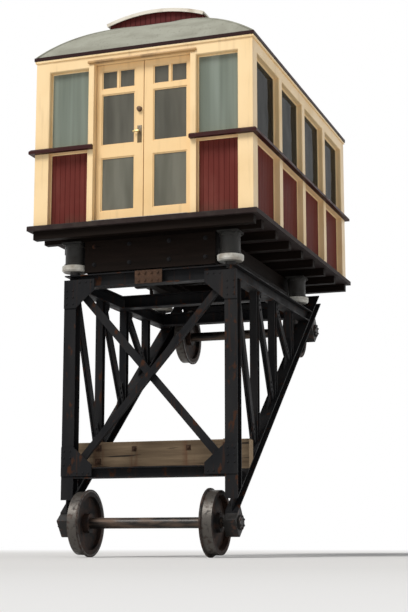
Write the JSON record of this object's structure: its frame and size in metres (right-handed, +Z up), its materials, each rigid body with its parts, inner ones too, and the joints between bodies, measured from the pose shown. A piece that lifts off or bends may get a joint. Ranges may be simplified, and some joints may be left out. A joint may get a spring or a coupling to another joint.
{
  "type": "funicular car",
  "caption": "Inclined-railway passenger car: a level timber cabin with double end doors and a monitor roof, on a trussed steel chassis for a steep track.",
  "frame": {"origin": "on the plane of the rail heads, midway between the rails, where the lower wheels touch them", "axes": "+X to the right of someone who faces uphill, +Y level and uphill, +Z up; the rails rise 0.78 m for each metre along +Y"},
  "size_m": [2.86, 4.56, 6.5734],
  "materials": {
    "chassis_paint": "weathered satin black",
    "cream_paint": "gloss cream paint on timber",
    "bare_timber": "bare weathered timber",
    "cast_box": "greasy cast iron",
    "axle_steel": "oily steel",
    "wheel_steel": "worn steel with bright treads",
    "door_paint": "gloss cream paint on timber",
    "window_glass": "clear glass, slightly green",
    "mounting_grey": "satin grey paint",
    "pale_disc": "pale enamel",
    "underframe_paint": "weathered dark brown",
    "floor_timber": "dark painted boards",
    "maroon_boards": "maroon paint on narrow boards",
    "dark_trim": "dark maroon paint",
    "hinge_brass": "dull brass",
    "bench_wood": "varnished oak",
    "roof_grey": "pale grey roof paint"
  },
  "bodies": {
    "car": {"left_leg": "chassis_paint", "left_low_chord": "chassis_paint", "left_top_chord": "chassis_paint", "left_uprights": "chassis_paint", "left_diagonals": "chassis_paint", "left_wall": "cream_paint", "right_leg": "chassis_paint", "right_low_chord": "chassis_paint", "right_top_chord": "chassis_paint", "right_uprights": "chassis_paint", "right_diagonals": "chassis_paint", "right_wall": "cream_paint", "cross_beams": "chassis_paint", "front_brace_a": "chassis_paint", "front_brace_b": "chassis_paint", "timber_beam": "bare_timber", "axle_boxes": "cast_box", "lower_end_wall": "cream_paint", "upper_end_wall": "cream_paint", "drawbeam": "chassis_paint", "mounting_housings": "mounting_grey", "mounting_discs": "pale_disc", "solebars": "underframe_paint", "crossbearers": "underframe_paint", "floor": "floor_timber", "boarded_panels": "maroon_boards", "window_glass": "window_glass", "belt_rails": "dark_trim", "door_hinges": "hinge_brass", "benches": "bench_wood", "eaves": "dark_trim", "roof": "roof_grey", "monitor_walls": "maroon_boards", "monitor_top": "roof_grey"},
    "lower_wheelset": {"lower_axle": "axle_steel", "lower_wheels": "wheel_steel"},
    "upper_wheelset": {"upper_axle": "axle_steel", "upper_wheels": "wheel_steel"},
    "lower_left_leaf": {"lower_left_door": "door_paint", "lower_left_door_glass": "window_glass"},
    "lower_right_leaf": {"lower_right_door": "door_paint", "lower_right_door_glass": "window_glass"},
    "upper_left_leaf": {"upper_left_door": "door_paint", "upper_left_door_glass": "window_glass"},
    "upper_right_leaf": {"upper_right_door": "door_paint", "upper_right_door_glass": "window_glass"}
  },
  "joints": [
    {"name": "lower_wheels_turn", "type": "hinge", "parent": "car", "child": "lower_wheelset", "pos_m": [0, -0.22141, 0.28386], "axis": [1, 0, 0], "continuous": true},
    {"name": "upper_wheels_turn", "type": "hinge", "parent": "car", "child": "upper_wheelset", "pos_m": [0, 3.19859, 2.95146], "axis": [1, 0, 0], "continuous": true},
    {"name": "lower_left_door_swing", "type": "hinge", "parent": "car", "child": "lower_left_leaf", "pos_m": [-0.6095, -0.436, 4.7], "axis": [0, 0, 1], "range_deg": [0, 90]},
    {"name": "lower_right_door_swing", "type": "hinge", "parent": "car", "child": "lower_right_leaf", "pos_m": [0.6095, -0.436, 4.7], "axis": [0, 0, -1], "range_deg": [0, 90]},
    {"name": "upper_left_door_swing", "type": "hinge", "parent": "car", "child": "upper_left_leaf", "pos_m": [-0.6095, 3.716, 4.7], "axis": [0, 0, -1], "range_deg": [0, 90]},
    {"name": "upper_right_door_swing", "type": "hinge", "parent": "car", "child": "upper_right_leaf", "pos_m": [0.6095, 3.716, 4.7], "axis": [0, 0, 1], "range_deg": [0, 90]}
  ]
}
